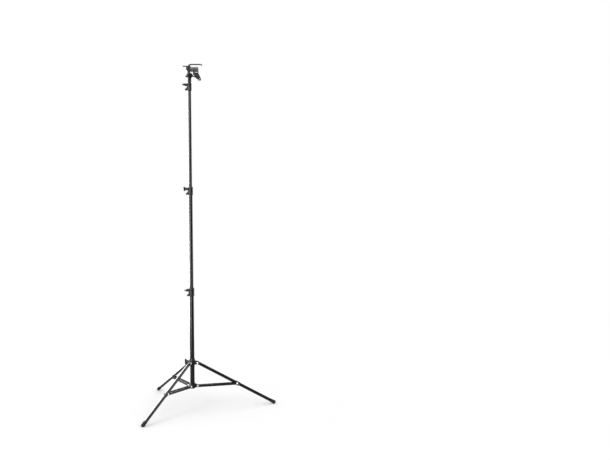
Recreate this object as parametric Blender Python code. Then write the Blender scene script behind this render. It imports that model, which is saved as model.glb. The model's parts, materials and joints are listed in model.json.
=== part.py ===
"""Folding tripod stand with three telescoping risers, T-knob collars and a roll-holding clamp head.

Metres, +Z up. The feet stand on Z = 0. X = Y = 0 is the middle of the footprint, and the column
stands a little to the -X side of it, because one leg points along +X and two point back.
"""

import math

import bmesh
import bpy
from mathutils import Matrix, Vector

MM = 0.001

# Clearance between pieces that touch or slide
GAP = 0.3 * MM
HOLE_PLAY = 0.3 * MM

# Column: radii of the four tubes, outermost first, and the wall they share
TUBE_RADII = (14 * MM, 12 * MM, 10 * MM, 8 * MM)
TUBE_WALL = 1.4 * MM
COLUMN_X = -127 * MM
COLUMN_BOTTOM = 111.5 * MM

# Collars: height of each lower edge, then their shared shape
COLLAR_BOTTOMS = (686 * MM, 1320 * MM, 1973 * MM)
COLLAR_HEIGHT = 53 * MM
COLLAR_STEP = 28 * MM
COLLAR_WALL = 4 * MM
COLLAR_KNOB_HEIGHT = 38 * MM
KNOB_BOSS_RADIUS = 8.5 * MM
KNOB_BOSS_END = 20.5 * MM
CLAW_REACH = 29 * MM
CLAW_HALF_WIDTH = 7 * MM

# Lower ends of the risers, and the top of the last one
RISER_BOTTOMS = (655 * MM, 1290 * MM, 1400 * MM)
RISER_3_TOP = 2034 * MM
BUSH_FLANGE = 10 * MM
BUSH_PLUG = 20 * MM

# Tripod: pivots, lengths and the rest angle of the legs below the horizontal
LEG_AZIMUTHS = {"a": math.radians(-120), "b": math.radians(120), "c": 0.0}
LEG_PIVOT_RADIUS = 33 * MM
LEG_PIVOT_Z = 269 * MM
LEG_ANGLE = math.radians(28.5)
LEG_RADIUS = 9.5 * MM
LEG_LENGTH = 551 * MM
LEG_TUBE_START = 16 * MM
HUB_PIVOT_RADIUS = 34 * MM
HUB_PIVOT_Z = 124 * MM
BRACE_JOINT_ALONG_LEG = 283.5 * MM
STRIP_HALF_HEIGHT = 6.5 * MM
STRIP_INNER = 11.5 * MM
STRIP_THICKNESS = 2.2 * MM
RIVET_RADIUS = 3 * MM
RIVET_HEAD_RADIUS = 5.5 * MM
RIVET_HEAD_HEIGHT = 1.8 * MM

# Rubber foot: a capped sleeve, cut flat where it meets the floor
FOOT_RADIUS = 10.9 * MM
FOOT_LENGTH = 34 * MM
FOOT_BORE_DEPTH = 20.3 * MM

# Leg collar, measured from the height of the leg pivots
LEG_COLLAR_RADIUS = 18.5 * MM
LEG_COLLAR_BELOW = 16 * MM
LEG_COLLAR_ABOVE = 26 * MM
LEG_KNOB_ABOVE = 8 * MM
LEG_KNOB_BOSS_END = 24 * MM
LUG_INNER = 6.5 * MM
LUG_OUTER = 11 * MM
LUG_RADIUS = 9.5 * MM
TONGUE_HALF_WIDTH = 6.1 * MM

# Base hub
HUB_BOTTOM = 111 * MM
HUB_TOP = 142 * MM
HUB_RADIUS = 18 * MM
HUB_LUG_HALF_WIDTH = 11.1 * MM
HUB_LUG_RADIUS = 7.5 * MM

# T-knob: hub and blade, and how far each blade is turned from level
KNOB_HUB_RADIUS = 9.5 * MM
KNOB_HUB_LENGTH = 13 * MM
KNOB_LENGTH = 23 * MM
KNOB_HALF_SPAN = 17 * MM
KNOB_HALF_THICKNESS = 3.8 * MM
STUD_RADIUS = 3 * MM
STUD_IN_KNOB = 8 * MM
COLLAR_BLADE_TURNS = (0.0, math.radians(35), 0.0)
LEG_BLADE_TURN = math.radians(90)

# Head: socket on the spigot of riser 3
SPIGOT_TOP = 2070 * MM
SOCKET_BOTTOM = 2029 * MM
SOCKET_TOP = 2081 * MM
SOCKET_RADIUS = 18.5 * MM
SOCKET_KNOB_Z = 2063 * MM
SOCKET_KNOB_AZIMUTH = math.radians(255)
SOCKET_BLADE_TURN = math.radians(-40)
SOCKET_BOSS_END = 22 * MM

# Head: block over the socket, and the cradle whose trough a roll's end lies in
TROUGH_RADIUS = 18.8 * MM
TROUGH_CENTRE_Z = 2112.5 * MM
TROUGH_END = 57 * MM
TROUGH_BOTTOM = 2091 * MM
TROUGH_TOP = 2117 * MM
TROUGH_HALF_WIDTH = 22 * MM
BLOCK_START = -19 * MM
BLOCK_END = 8 * MM
BLOCK_HALF_WIDTH = 13 * MM
BLOCK_BOTTOM = 2097 * MM
BLOCK_TOP = 2127 * MM

# Head: hook over the trough, cam lever, and the jaw with its clamp screw
HOOK_PIVOT = (-1 * MM, 2132 * MM)
HOOK_RADIUS = 4 * MM
HOOK_LEVEL = 2138 * MM
TRUNNION_RADIUS = 2 * MM
LEVER_PIVOT = (-14 * MM, 2122.5 * MM)
LEVER_TIP = (-42 * MM, 2127 * MM)
JAW_PIVOT = (27 * MM, 2066 * MM)
JAW_HALF_WIDTH = 10 * MM
JAW_PIN_RADIUS = 2.5 * MM
JAW_TONGUE_HALF_WIDTH = 4.5 * MM
JAW_EAR_RADIUS = 6.5 * MM
JAW_POCKET_TOP = 2048.7 * MM
CLAMP_STUD_X = 50 * MM
CLAMP_STUD_BOTTOM = 2037 * MM
CLAMP_STUD_TOP = 2091 * MM
SCREW_HEAD_RADIUS = 5.8 * MM
SCREW_HEAD_HEIGHT = 5.3 * MM
SCREW_CLIP_RADIUS = 5.2 * MM

ROUND = 24
SMALL_ROUND = 16

POSITIVE_Y = Matrix.Rotation(math.radians(-90), 4, "X")


def clear_scene():
    for obj in list(bpy.data.objects):
        bpy.data.objects.remove(obj, do_unlink=True)


def make_material(name, colour, roughness, metallic):
    material = bpy.data.materials.new(name)
    material.use_nodes = True
    shader = material.node_tree.nodes["Principled BSDF"]
    shader.inputs["Base Color"].default_value = (*colour, 1)
    shader.inputs["Roughness"].default_value = roughness
    shader.inputs["Metallic"].default_value = metallic
    return material


def mesh_from(bm):
    bmesh.ops.recalc_face_normals(bm, faces=bm.faces)
    mesh = bpy.data.meshes.new("shape")
    bm.to_mesh(mesh)
    bm.free()
    return mesh


def lathe(profile, segments=ROUND):
    """Turns (radius, height) points round Z. A profile that starts and ends at radius 0 is solid."""
    bm = bmesh.new()
    rings = []
    for radius, height in profile:
        count = segments if radius > 0 else 1
        angles = [2 * math.pi * i / segments for i in range(count)]
        rings.append([bm.verts.new((radius * math.cos(a), radius * math.sin(a), height)) for a in angles])
    pairs = list(zip(rings, rings[1:]))
    if profile[0][0] > 0:
        pairs.append((rings[-1], rings[0]))
    for lower, upper in pairs:
        for i in range(segments):
            j = (i + 1) % segments
            corners = [lower[i % len(lower)], lower[j % len(lower)], upper[j % len(upper)], upper[i % len(upper)]]
            bm.faces.new(list(dict.fromkeys(corners)))
    return mesh_from(bm)


def rod(radius, start, end, segments=SMALL_ROUND):
    return lathe([(0, start), (radius, start), (radius, end), (0, end)], segments)


def ring(inner, outer, start, end, segments=ROUND):
    return lathe([(inner, start), (outer, start), (outer, end), (inner, end)], segments)


def plate(outline, low, high):
    """Extrudes an outline of (x, z) points along Y, from low to high."""
    bm = bmesh.new()
    face = bm.faces.new([bm.verts.new((x, low, z)) for x, z in outline])
    grown = bmesh.ops.extrude_face_region(bm, geom=[face])
    moved = [v for v in grown["geom"] if isinstance(v, bmesh.types.BMVert)]
    bmesh.ops.translate(bm, vec=(0, high - low, 0), verts=moved)
    return mesh_from(bm)


def box(x0, x1, y0, y1, z0, z1):
    return plate([(x0, z0), (x1, z0), (x1, z1), (x0, z1)], y0, y1)


def arc(centre, radius, start, end, steps):
    """Points of an arc in the XZ plane, angles in degrees from +X towards +Z."""
    angles = [math.radians(start + (end - start) * i / steps) for i in range(steps + 1)]
    return [(centre[0] + radius * math.cos(a), centre[1] + radius * math.sin(a)) for a in angles]


def sweep(path, radius, segments=SMALL_ROUND):
    """A round bar along points of the XZ plane."""
    bm = bmesh.new()
    rings = []
    for i, point in enumerate(path):
        before = Vector(path[max(i - 1, 0)])
        after = Vector(path[min(i + 1, len(path) - 1)])
        along = (after - before).normalized()
        side = Vector((-along.y, along.x))
        angles = [2 * math.pi * k / segments for k in range(segments)]
        rings.append([
            bm.verts.new((
                point[0] + radius * math.cos(a) * side.x,
                radius * math.sin(a),
                point[1] + radius * math.cos(a) * side.y,
            ))
            for a in angles
        ])
    for first, second in zip(rings, rings[1:]):
        for k in range(segments):
            m = (k + 1) % segments
            bm.faces.new((first[k], first[m], second[m], second[k]))
    bm.faces.new(rings[0])
    bm.faces.new(rings[-1])
    return mesh_from(bm)


def moved(mesh, matrix):
    copy = mesh.copy()
    copy.transform(matrix)
    return copy


def along_y(mesh, x=0.0, z=0.0):
    """Lays a Z-axis shape along Y, through the point (x, 0, z)."""
    return moved(mesh, Matrix.Translation((x, 0, z)) @ POSITIVE_Y)


def outward(mesh, azimuth, z):
    """Lays a Z-axis shape along the horizontal direction of the azimuth, at height z."""
    turn = Matrix.Rotation(azimuth, 4, "Z") @ Matrix.Rotation(math.radians(90), 4, "Y")
    return moved(mesh, Matrix.Translation((0, 0, z)) @ turn)


def turned(mesh, azimuth):
    return moved(mesh, Matrix.Rotation(azimuth, 4, "Z"))


def combine(base, joined=(), cut=()):
    """One mesh: the base with some meshes joined to it and others cut from it."""
    helpers = [bpy.data.objects.new("helper", base)]
    steps = [("UNION", mesh) for mesh in joined] + [("DIFFERENCE", mesh) for mesh in cut]
    for operation, mesh in steps:
        helper = bpy.data.objects.new("helper", mesh)
        modifier = helpers[0].modifiers.new("combine", "BOOLEAN")
        modifier.operation = operation
        modifier.object = helper
        helpers.append(helper)
    for helper in helpers:
        bpy.context.scene.collection.objects.link(helper)
    graph = bpy.context.evaluated_depsgraph_get()
    result = bpy.data.meshes.new_from_object(helpers[0].evaluated_get(graph))
    for helper in helpers:
        bpy.data.objects.remove(helper, do_unlink=True)
    return result


def add_empty(name, parent=None, location=(0, 0, 0), rotation=(0, 0, 0)):
    empty = bpy.data.objects.new(name, None)
    empty.location = location
    empty.rotation_euler = rotation
    empty.parent = parent
    bpy.context.scene.collection.objects.link(empty)
    return empty


def add_part(name, mesh, material, parent, location=(0, 0, 0), rotation=(0, 0, 0)):
    part = bpy.data.objects.new(name, mesh)
    part.location = location
    part.rotation_euler = rotation
    part.parent = parent
    bpy.context.scene.collection.objects.link(part)
    if not mesh.materials:
        mesh.materials.append(material)
        mesh.shade_smooth()
        mesh.set_sharp_from_angle(angle=math.radians(40))
    return part


def knob_mesh():
    """A T-knob along +Z: a hub with a blind hole for the stud, and a blade that widens to a bar."""
    hole = STUD_RADIUS + HOLE_PLAY
    hub = lathe([
        (0, STUD_IN_KNOB + GAP),
        (hole, STUD_IN_KNOB + GAP),
        (hole, 0),
        (8 * MM, 0),
        (KNOB_HUB_RADIUS, 1.5 * MM),
        (KNOB_HUB_RADIUS - 1 * MM, KNOB_HUB_LENGTH - 2 * MM),
        (6 * MM, KNOB_HUB_LENGTH),
        (0, KNOB_HUB_LENGTH),
    ], SMALL_ROUND)
    half = [
        (7 * MM, 2.5 * MM),
        (9.5 * MM, 9 * MM),
        (15 * MM, 13 * MM),
        (KNOB_HALF_SPAN, 16 * MM),
        (KNOB_HALF_SPAN, 20.5 * MM),
        (15 * MM, KNOB_LENGTH),
    ]
    mirrored = [(-x, z) for x, z in reversed(half)]
    blade = plate(half + mirrored, -KNOB_HALF_THICKNESS, KNOB_HALF_THICKNESS)
    hole_again = rod(hole, -1 * MM, STUD_IN_KNOB + GAP)
    return combine(hub, joined=[blade], cut=[hole_again])


def add_knob(name, knob, parent, azimuth, z, face, tip, blade_turn, plastic, steel):
    """A T-knob and its stud, pointing away from the column axis: face and tip are distances from it."""
    axis = add_empty(f"{name}_axis", parent, (0, 0, z), (0, 0, azimuth))
    lying = (0, math.radians(90), 0)
    turn = add_empty(f"{name}_turn", axis, (face, 0, 0), lying)
    add_part(name, knob, plastic, turn, rotation=(0, 0, blade_turn))
    stud = rod(STUD_RADIUS, tip - face, STUD_IN_KNOB)
    add_part(f"{name}_stud", stud, steel, turn)


def collar_mesh(outer, inner):
    """A cast collar: it grips the outer tube below its step and guides the inner tube above it."""
    grip = outer + GAP
    guide = inner + 0.35 * MM
    body = lathe([
        (grip, 0),
        (outer + COLLAR_WALL - 1 * MM, 0),
        (outer + COLLAR_WALL, 3 * MM),
        (outer + COLLAR_WALL, COLLAR_HEIGHT - 13 * MM),
        (inner + COLLAR_WALL, COLLAR_HEIGHT - 4 * MM),
        (inner + 2.4 * MM, COLLAR_HEIGHT),
        (guide, COLLAR_HEIGHT),
        (guide, COLLAR_STEP + GAP),
        (grip, COLLAR_STEP + GAP),
    ])
    boss = outward(rod(KNOB_BOSS_RADIUS, inner + 2 * MM, KNOB_BOSS_END), math.pi, COLLAR_KNOB_HEIGHT)
    claw = plate([
        (-outer - 1.5 * MM, 3 * MM),
        (-19 * MM, 3 * MM),
        (-23 * MM, -0.5 * MM),
        (-27 * MM, 0),
        (-CLAW_REACH, 4.5 * MM),
        (-27 * MM, 11.5 * MM),
        (-22.5 * MM, 13.5 * MM),
        (-18.5 * MM, 19 * MM),
        (-outer - 1.5 * MM, 24 * MM),
    ], -CLAW_HALF_WIDTH, CLAW_HALF_WIDTH)
    stud_hole = outward(rod(STUD_RADIUS + HOLE_PLAY, 2 * MM, KNOB_BOSS_END + 5 * MM), math.pi, COLLAR_KNOB_HEIGHT)
    return combine(body, joined=[boss, claw], cut=[stud_hole])


def bush_mesh(bore, inner_bore):
    """A guide bush at a riser's lower end: a flange in the tube around it, a plug in its own tube."""
    return lathe([
        (0, -BUSH_FLANGE),
        (bore - GAP - 1 * MM, -BUSH_FLANGE),
        (bore - GAP, -BUSH_FLANGE + 1 * MM),
        (bore - GAP, -GAP),
        (inner_bore - GAP, -GAP),
        (inner_bore - GAP, BUSH_PLUG),
        (0, BUSH_PLUG),
    ])


def rivet_mesh(half_length):
    """A rivet along Y with a domed head at each end."""
    crown = half_length + RIVET_HEAD_HEIGHT
    profile = [(0, -crown), (3.5 * MM, -crown), (RIVET_HEAD_RADIUS, -half_length - 0.6 * MM)]
    profile += [(RIVET_HEAD_RADIUS, -half_length), (RIVET_RADIUS, -half_length)]
    profile += [(radius, -height) for radius, height in reversed(profile)]
    return along_y(lathe(profile, SMALL_ROUND))


def hub_mesh():
    sleeve = ring(TUBE_RADII[0] + GAP, HUB_RADIUS, HUB_BOTTOM, HUB_TOP)
    centre = (HUB_PIVOT_RADIUS, HUB_PIVOT_Z)
    outline = arc(centre, HUB_LUG_RADIUS, -90, 90, 8)
    outline += [(15.5 * MM, HUB_PIVOT_Z + HUB_LUG_RADIUS + 6 * MM), (15.5 * MM, HUB_PIVOT_Z - HUB_LUG_RADIUS)]
    lug = plate(outline, -HUB_LUG_HALF_WIDTH, HUB_LUG_HALF_WIDTH)
    hole = along_y(rod(RIVET_RADIUS + HOLE_PLAY, -20 * MM, 20 * MM), *centre)
    lugs = [turned(lug, azimuth) for azimuth in LEG_AZIMUTHS.values()]
    holes = [turned(hole, azimuth) for azimuth in LEG_AZIMUTHS.values()]
    bore = rod(TUBE_RADII[0] + GAP, HUB_BOTTOM - 9 * MM, HUB_TOP + 9 * MM, ROUND)
    return combine(sleeve, joined=lugs, cut=[bore, *holes])


def leg_collar_mesh():
    """The sliding collar, with Z = 0 at the height of the leg pivots."""
    bore_radius = TUBE_RADII[0] + 0.35 * MM
    sleeve = lathe([
        (bore_radius, -LEG_COLLAR_BELOW),
        (LEG_COLLAR_RADIUS - 1 * MM, -LEG_COLLAR_BELOW),
        (LEG_COLLAR_RADIUS, -LEG_COLLAR_BELOW + 2 * MM),
        (LEG_COLLAR_RADIUS, LEG_COLLAR_ABOVE - 8 * MM),
        (16.8 * MM, LEG_COLLAR_ABOVE),
        (bore_radius, LEG_COLLAR_ABOVE),
    ])
    outline = arc((LEG_PIVOT_RADIUS, 0), LUG_RADIUS, -90, 90, 8)
    outline += [(15.5 * MM, LUG_RADIUS + 3 * MM), (15.5 * MM, -LUG_RADIUS)]
    ears = [plate(outline, LUG_INNER, LUG_OUTER), plate(outline, -LUG_OUTER, -LUG_INNER)]
    hole = along_y(rod(RIVET_RADIUS + HOLE_PLAY, -20 * MM, 20 * MM), LEG_PIVOT_RADIUS, 0)
    azimuths = LEG_AZIMUTHS.values()
    lugs = [turned(ear, azimuth) for azimuth in azimuths for ear in ears]
    holes = [turned(hole, azimuth) for azimuth in azimuths]
    boss = outward(rod(KNOB_BOSS_RADIUS, 16 * MM, LEG_KNOB_BOSS_END), math.pi, LEG_KNOB_ABOVE)
    stud_hole = outward(rod(STUD_RADIUS + HOLE_PLAY, 5 * MM, LEG_KNOB_BOSS_END + 5 * MM), math.pi, LEG_KNOB_ABOVE)
    bore = rod(bore_radius, -30 * MM, 40 * MM, ROUND)
    return combine(sleeve, joined=[*lugs, boss], cut=[bore, stud_hole, *holes])


def along_x(mesh):
    return moved(mesh, Matrix.Rotation(math.radians(90), 4, "Y"))


def tongue_mesh():
    """Top fitting of a leg, along +X from its pivot: tongue, shoulder and the plug in the tube."""
    outline = arc((0, 0), 8.5 * MM, 90, 270, 8)
    outline += [(LEG_TUBE_START - 2 * MM, -8.5 * MM), (LEG_TUBE_START - 2 * MM, 8.5 * MM)]
    tongue = plate(outline, -TONGUE_HALF_WIDTH, TONGUE_HALF_WIDTH)
    plug_radius = LEG_RADIUS - TUBE_WALL - 0.4 * MM
    shoulder = along_x(lathe([
        (0, 12 * MM),
        (LEG_RADIUS, 12 * MM),
        (LEG_RADIUS + 1.2 * MM, 13 * MM),
        (LEG_RADIUS + 1.2 * MM, LEG_TUBE_START),
        (plug_radius, LEG_TUBE_START),
        (plug_radius, LEG_TUBE_START + 20 * MM),
        (0, LEG_TUBE_START + 20 * MM),
    ]))
    hole = along_y(rod(RIVET_RADIUS + HOLE_PLAY, -20 * MM, 20 * MM))
    return combine(tongue, joined=[shoulder], cut=[hole])


def brace_joint_hole():
    return along_y(rod(RIVET_RADIUS + HOLE_PLAY, -20 * MM, 20 * MM), BRACE_JOINT_ALONG_LEG, 0)


def leg_tube_mesh():
    end = LEG_LENGTH - FOOT_LENGTH + FOOT_BORE_DEPTH - GAP
    tube = along_x(ring(LEG_RADIUS - TUBE_WALL, LEG_RADIUS, LEG_TUBE_START + GAP, end))
    return combine(tube, cut=[brace_joint_hole()])


def saddle_mesh():
    """A clip round the leg tube at the brace joint, with a folded tab on its lower side."""
    middle = BRACE_JOINT_ALONG_LEG
    inner = LEG_RADIUS + GAP
    sleeve = along_x(ring(inner, LEG_RADIUS + 1.6 * MM, middle - 15 * MM, middle + 15 * MM))
    tab = plate([
        (middle - 10 * MM, -inner - 0.6 * MM),
        (middle - 8 * MM, -13.5 * MM),
        (middle + 8 * MM, -13.5 * MM),
        (middle + 10 * MM, -inner - 0.6 * MM),
    ], -3.5 * MM, 3.5 * MM)
    return combine(sleeve, joined=[tab], cut=[brace_joint_hole()])


def foot_mesh():
    """A rubber foot along +X, cut by the floor as it lies with the leg at its rest angle."""
    start = LEG_LENGTH - FOOT_LENGTH
    bore = LEG_RADIUS + GAP
    cap = along_x(lathe([
        (0, start + FOOT_BORE_DEPTH),
        (bore, start + FOOT_BORE_DEPTH),
        (bore, start),
        (FOOT_RADIUS - 0.8 * MM, start),
        (FOOT_RADIUS, start + 1.5 * MM),
        (FOOT_RADIUS, LEG_LENGTH - 2 * MM),
        (FOOT_RADIUS - 2 * MM, LEG_LENGTH),
        (0, LEG_LENGTH),
    ]))
    below_floor = box(0.3, 0.7, -0.05, 0.05, -LEG_PIVOT_Z - 0.05, -LEG_PIVOT_Z)
    return combine(cap, cut=[moved(below_floor, Matrix.Rotation(-LEG_ANGLE, 4, "Y"))])


def strip_mesh(length, side):
    """A flat brace strip along +X from the hub pivot, on one side of the leg."""
    outline = arc((0, 0), STRIP_HALF_HEIGHT, 90, 270, 8) + arc((length, 0), STRIP_HALF_HEIGHT, -90, 90, 8)
    near, far = sorted((side * STRIP_INNER, side * (STRIP_INNER + STRIP_THICKNESS)))
    strip = plate(outline, near, far)
    holes = [along_y(rod(RIVET_RADIUS + HOLE_PLAY, -20 * MM, 20 * MM), x, 0) for x in (0, length)]
    return combine(strip, cut=holes)


def riser_mesh(radius, bottom, top):
    return ring(radius - TUBE_WALL, radius, bottom, top)


def spigot_mesh():
    """The 16 mm spigot: a plug inside riser 3, a shoulder on its end and a groove for the knob."""
    plug = TUBE_RADII[3] - TUBE_WALL - GAP
    radius = TUBE_RADII[3]
    return lathe([
        (0, RISER_3_TOP - 28 * MM),
        (plug, RISER_3_TOP - 28 * MM),
        (plug, RISER_3_TOP + GAP),
        (radius, RISER_3_TOP + GAP),
        (radius, SOCKET_KNOB_Z - 5 * MM),
        (radius - 1 * MM, SOCKET_KNOB_Z - 4 * MM),
        (radius - 1 * MM, SOCKET_KNOB_Z + 4 * MM),
        (radius, SOCKET_KNOB_Z + 5 * MM),
        (radius, SPIGOT_TOP - 1 * MM),
        (radius - 1 * MM, SPIGOT_TOP),
        (0, SPIGOT_TOP),
    ])


def socket_mesh():
    """The head's main casting: socket, upright, block with the hook's ears, and the jaw's tongue."""
    bore = TUBE_RADII[3] + GAP
    body = lathe([
        (0, SPIGOT_TOP + GAP),
        (bore, SPIGOT_TOP + GAP),
        (bore, SOCKET_BOTTOM),
        (12 * MM, SOCKET_BOTTOM),
        (12.5 * MM, SOCKET_BOTTOM + 1 * MM),
        (12.5 * MM, SOCKET_BOTTOM + 21 * MM),
        (SOCKET_RADIUS, SOCKET_TOP - 12 * MM),
        (SOCKET_RADIUS, SOCKET_TOP - 4 * MM),
        (SOCKET_RADIUS - 2.5 * MM, SOCKET_TOP),
        (0, SOCKET_TOP),
    ])
    upright = box(-11 * MM, 6 * MM, -11 * MM, 11 * MM, SOCKET_TOP - 6 * MM, BLOCK_BOTTOM + 2 * MM)
    chamfer = 3 * MM
    block = plate([
        (BLOCK_START + chamfer, BLOCK_BOTTOM),
        (BLOCK_END, BLOCK_BOTTOM),
        (BLOCK_END, BLOCK_TOP),
        (BLOCK_START + chamfer, BLOCK_TOP),
        (BLOCK_START, BLOCK_TOP - chamfer),
        (BLOCK_START, BLOCK_BOTTOM + chamfer),
    ], -BLOCK_HALF_WIDTH, BLOCK_HALF_WIDTH)
    x, z = HOOK_PIVOT
    ear = arc(HOOK_PIVOT, 4.5 * MM, 0, 180, 8)
    ear += [(x - 4.5 * MM, BLOCK_TOP - 2 * MM), (x + 4.5 * MM, BLOCK_TOP - 2 * MM)]
    ears = [plate(ear, 4.6 * MM, 8.6 * MM), plate(ear, -8.6 * MM, -4.6 * MM)]
    boss = outward(rod(KNOB_BOSS_RADIUS, 9.5 * MM, SOCKET_BOSS_END), SOCKET_KNOB_AZIMUTH, SOCKET_KNOB_Z)
    outline = arc(JAW_PIVOT, JAW_EAR_RADIUS, -90, 90, 8)
    outline += [(12 * MM, JAW_PIVOT[1] + JAW_EAR_RADIUS), (12 * MM, JAW_PIVOT[1] - JAW_EAR_RADIUS)]
    tongue = plate(outline, -JAW_TONGUE_HALF_WIDTH, JAW_TONGUE_HALF_WIDTH)
    stud_hole = rod(STUD_RADIUS + HOLE_PLAY, 2 * MM, SOCKET_BOSS_END + 5 * MM)
    trunnion_hole = TRUNNION_RADIUS + HOLE_PLAY
    cuts = [
        along_y(rod(JAW_PIN_RADIUS + HOLE_PLAY, -20 * MM, 20 * MM), *JAW_PIVOT),
        outward(stud_hole, SOCKET_KNOB_AZIMUTH, SOCKET_KNOB_Z),
        box(BLOCK_START - 5 * MM, -8 * MM, -4.5 * MM, 4.5 * MM, LEVER_PIVOT[1] - 6 * MM, BLOCK_TOP + 5 * MM),
        along_y(rod(trunnion_hole, -20 * MM, 20 * MM), *HOOK_PIVOT),
        along_y(rod(trunnion_hole, -9 * MM, 9 * MM), *LEVER_PIVOT),
    ]
    return combine(body, joined=[upright, block, *ears, boss, tongue], cut=cuts)


def cradle_mesh():
    """The trough casting, open along +X, with the boss that holds the clamp stud under it."""
    centre = (0, TROUGH_CENTRE_Z)
    outline = [(-TROUGH_HALF_WIDTH, TROUGH_TOP), *arc(centre, TROUGH_CENTRE_Z - TROUGH_BOTTOM, 180, 360, 16)]
    outline += [(TROUGH_HALF_WIDTH, TROUGH_TOP), (TROUGH_RADIUS, TROUGH_TOP)]
    outline += [*arc(centre, TROUGH_RADIUS, 0, -180, 16), (-TROUGH_RADIUS, TROUGH_TOP)]
    quarter = Matrix.Rotation(math.radians(90), 4, "Z")
    trough = moved(plate(outline, -TROUGH_END, -BLOCK_END - GAP), quarter)
    at_stud = Matrix.Translation((CLAMP_STUD_X, 0, 0))
    boss = moved(rod(8 * MM, TROUGH_BOTTOM - 5.5 * MM, TROUGH_BOTTOM + 1.5 * MM), at_stud)
    stud_hole = moved(rod(STUD_RADIUS + HOLE_PLAY, CLAMP_STUD_BOTTOM, CLAMP_STUD_TOP + GAP), at_stud)
    return combine(trough, joined=[boss], cut=[stud_hole])


def hook_mesh():
    """The hook bar: an eye with a trunnion at each side, a rising bend and a turned-down tip."""
    x, z = HOOK_PIVOT
    path = [(x, z), (x + 3 * MM, z + 2.2 * MM), (x + 7 * MM, z + 4.6 * MM), (x + 13 * MM, HOOK_LEVEL)]
    path += [(66 * MM, HOOK_LEVEL), (73 * MM, HOOK_LEVEL - 0.8 * MM), (77 * MM, HOOK_LEVEL - 3.5 * MM)]
    path += [(79 * MM, HOOK_LEVEL - 7.5 * MM)]
    bar = sweep(path, HOOK_RADIUS, 12)
    eye = along_y(rod(4.2 * MM, -4.2 * MM, 4.2 * MM), x, z)
    trunnions = along_y(rod(TRUNNION_RADIUS, -8.6 * MM, 8.6 * MM), x, z)
    return combine(eye, joined=[bar, trunnions])


def lever_mesh():
    x, z = LEVER_PIVOT
    tip_x, tip_z = LEVER_TIP
    outline = arc((x, z), 4.5 * MM, -90, 90, 8)
    outline += [(x - 8 * MM, z + 6 * MM), (tip_x + 3 * MM, tip_z + 2.6 * MM), (tip_x, tip_z + 1 * MM)]
    outline += [(tip_x, tip_z - 1.6 * MM), (tip_x + 2 * MM, tip_z - 2.8 * MM), (x - 9 * MM, z - 1 * MM)]
    bar = plate(outline, -4 * MM, 4 * MM)
    trunnions = along_y(rod(TRUNNION_RADIUS, -8.5 * MM, 8.5 * MM), x, z)
    return combine(bar, joined=[trunnions])


def jaw_mesh():
    """The swinging jaw: two ears on its pin, a slot for the clamp screw and a pocket for its head."""
    x, z = JAW_PIVOT
    outline = arc(JAW_PIVOT, JAW_EAR_RADIUS, 120, 250, 8)
    outline += [(x + 30 * MM, z - 28.5 * MM)]
    outline += arc((x + 37 * MM, z - 20 * MM), 9 * MM, -80, 15, 5)
    outline += [(x + 33 * MM, z + 11 * MM), (x + 27 * MM, z + 17.5 * MM), (x + 13 * MM, z + 17.5 * MM)]
    outline += [(x + 10 * MM, z + 23.5 * MM), (x - 3 * MM, z + 23.5 * MM), (x - 4.5 * MM, z + 21 * MM)]
    body = plate(outline, -JAW_HALF_WIDTH, JAW_HALF_WIDTH)
    room = JAW_TONGUE_HALF_WIDTH + GAP
    fork_gap = box(x - 9 * MM, x + 9 * MM, -room, room, z - 11 * MM, z + 9 * MM)
    slot = box(CLAMP_STUD_X - 7 * MM, CLAMP_STUD_X + 7 * MM, -3.5 * MM, 3.5 * MM, z - 60 * MM, z + 60 * MM)
    pocket = rod(9.5 * MM, CLAMP_STUD_BOTTOM - 20 * MM, JAW_POCKET_TOP, ROUND)
    pocket = moved(pocket, Matrix.Translation((CLAMP_STUD_X, 0, 0)))
    end_hole = along_y(rod(3.2 * MM, -20 * MM, 20 * MM), x + 37 * MM, z - 19 * MM)
    pin = along_y(rod(JAW_PIN_RADIUS, -JAW_HALF_WIDTH - 1.5 * MM, JAW_HALF_WIDTH + 1.5 * MM), x, z)
    forked = combine(body, cut=[fork_gap, slot, pocket, end_hole])
    return combine(forked, joined=[pin])


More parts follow.
